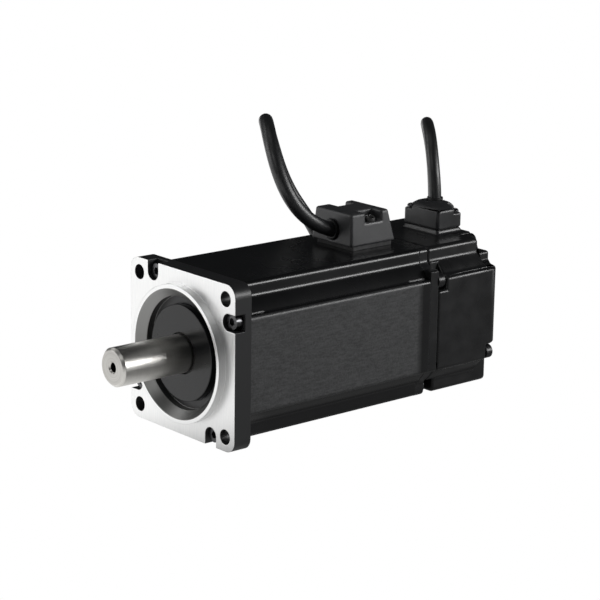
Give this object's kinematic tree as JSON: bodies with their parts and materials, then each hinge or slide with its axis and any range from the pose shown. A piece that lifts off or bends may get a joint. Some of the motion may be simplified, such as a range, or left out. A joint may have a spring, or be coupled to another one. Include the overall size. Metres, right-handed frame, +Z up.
{
  "type": "servo motor",
  "caption": "Square-flange AC servo motor with a plain shaft, a locating pilot, a power terminal box and an encoder, each on its own flying lead.",
  "frame": {"origin": "centre of the mounting face, on the shaft axis", "axes": "-Y along the shaft towards its free end, +Y towards the encoder, +X to the right seen from the shaft end, +Z up through the terminal boxes"},
  "size_m": [0.0935, 0.1883, 0.1057],
  "materials": {
    "machined_aluminium": "turned and milled",
    "dark_steel": "turned, smooth",
    "seal_rubber": "moulded",
    "plated_screw": "zinc plated",
    "ground_steel": "cylindrically ground",
    "bearing_steel": "ground",
    "ball_steel": "polished",
    "brass_cage": "stamped brass",
    "black_paint": "satin black paint on cast and extruded aluminium",
    "black_paint_box": "satin moulded",
    "black_box_plastic": "satin moulded",
    "lamination": "stacked electrical steel",
    "white_nylon": "moulded nylon",
    "copper_wire": "enamelled wire",
    "red_wire": "insulated wire",
    "magnet_nickel": "nickel plated",
    "code_glass": "glass with a chrome pattern",
    "green_board": "solder mask",
    "black_chip": "moulded",
    "gold_contact": "gold flash",
    "black_sheath": "satin sheath"
  },
  "bodies": {
    "stator": {"front_bracket": "machined_aluminium", "seal_disc": "dark_steel", "shaft_seal": "seal_rubber", "flange_screws": "plated_screw", "front_bearing_outer": "bearing_steel", "stator_housing": "black_paint", "stator_core": "lamination", "coil_bobbins": "white_nylon", "windings": "copper_wire", "terminal_ring": "white_nylon", "phase_leads": "red_wire", "rear_bracket": "black_paint", "bracket_screws": "plated_screw", "rear_bearing_outer": "bearing_steel", "wave_washer": "bearing_steel", "cover_gasket": "seal_rubber", "encoder_cover": "black_paint", "cover_screws": "plated_screw", "encoder_board": "green_board", "encoder_sensor": "black_chip", "encoder_chips": "black_chip", "encoder_standoffs": "brass_cage", "board_screws": "plated_screw", "power_gasket": "seal_rubber", "power_header": "white_nylon", "power_pins": "gold_contact", "power_wires": "red_wire", "power_shell": "black_paint_box", "power_shell_screws": "plated_screw", "power_gland": "seal_rubber", "power_lead": "black_sheath", "power_plug": "white_nylon", "power_contacts": "gold_contact", "encoder_shell": "black_box_plastic", "encoder_shell_screws": "plated_screw", "encoder_gland": "seal_rubber", "encoder_wires": "red_wire", "encoder_lead": "black_sheath", "encoder_plug": "white_nylon", "encoder_contacts": "gold_contact"},
    "rotor": {"shaft": "ground_steel", "front_bearing_inner": "bearing_steel", "rotor_core": "lamination", "rotor_magnets": "magnet_nickel", "rotor_sleeve": "bearing_steel", "rotor_end_plates": "brass_cage", "rear_bearing_inner": "bearing_steel", "encoder_hub": "bearing_steel", "encoder_disc": "code_glass"},
    "front_balls": {"front_bearing_balls": "ball_steel", "front_bearing_cage": "brass_cage"},
    "rear_balls": {"rear_bearing_balls": "ball_steel", "rear_bearing_cage": "brass_cage"}
  },
  "joints": [
    {"name": "shaft_spin", "type": "hinge", "parent": "stator", "child": "rotor", "pos_m": [0, 0, 0], "axis": [0, -1, 0], "continuous": true},
    {"name": "front_balls_spin", "type": "hinge", "parent": "stator", "child": "front_balls", "pos_m": [0, 0.0085, 0], "axis": [0, -1, 0], "continuous": true},
    {"name": "rear_balls_spin", "type": "hinge", "parent": "stator", "child": "rear_balls", "pos_m": [0, 0.09, 0], "axis": [0, -1, 0], "continuous": true}
  ],
  "couplings": [
    {"joint": "front_balls_spin", "follows": "shaft_spin", "ratio": 0.382},
    {"joint": "rear_balls_spin", "follows": "shaft_spin", "ratio": 0.3833}
  ]
}
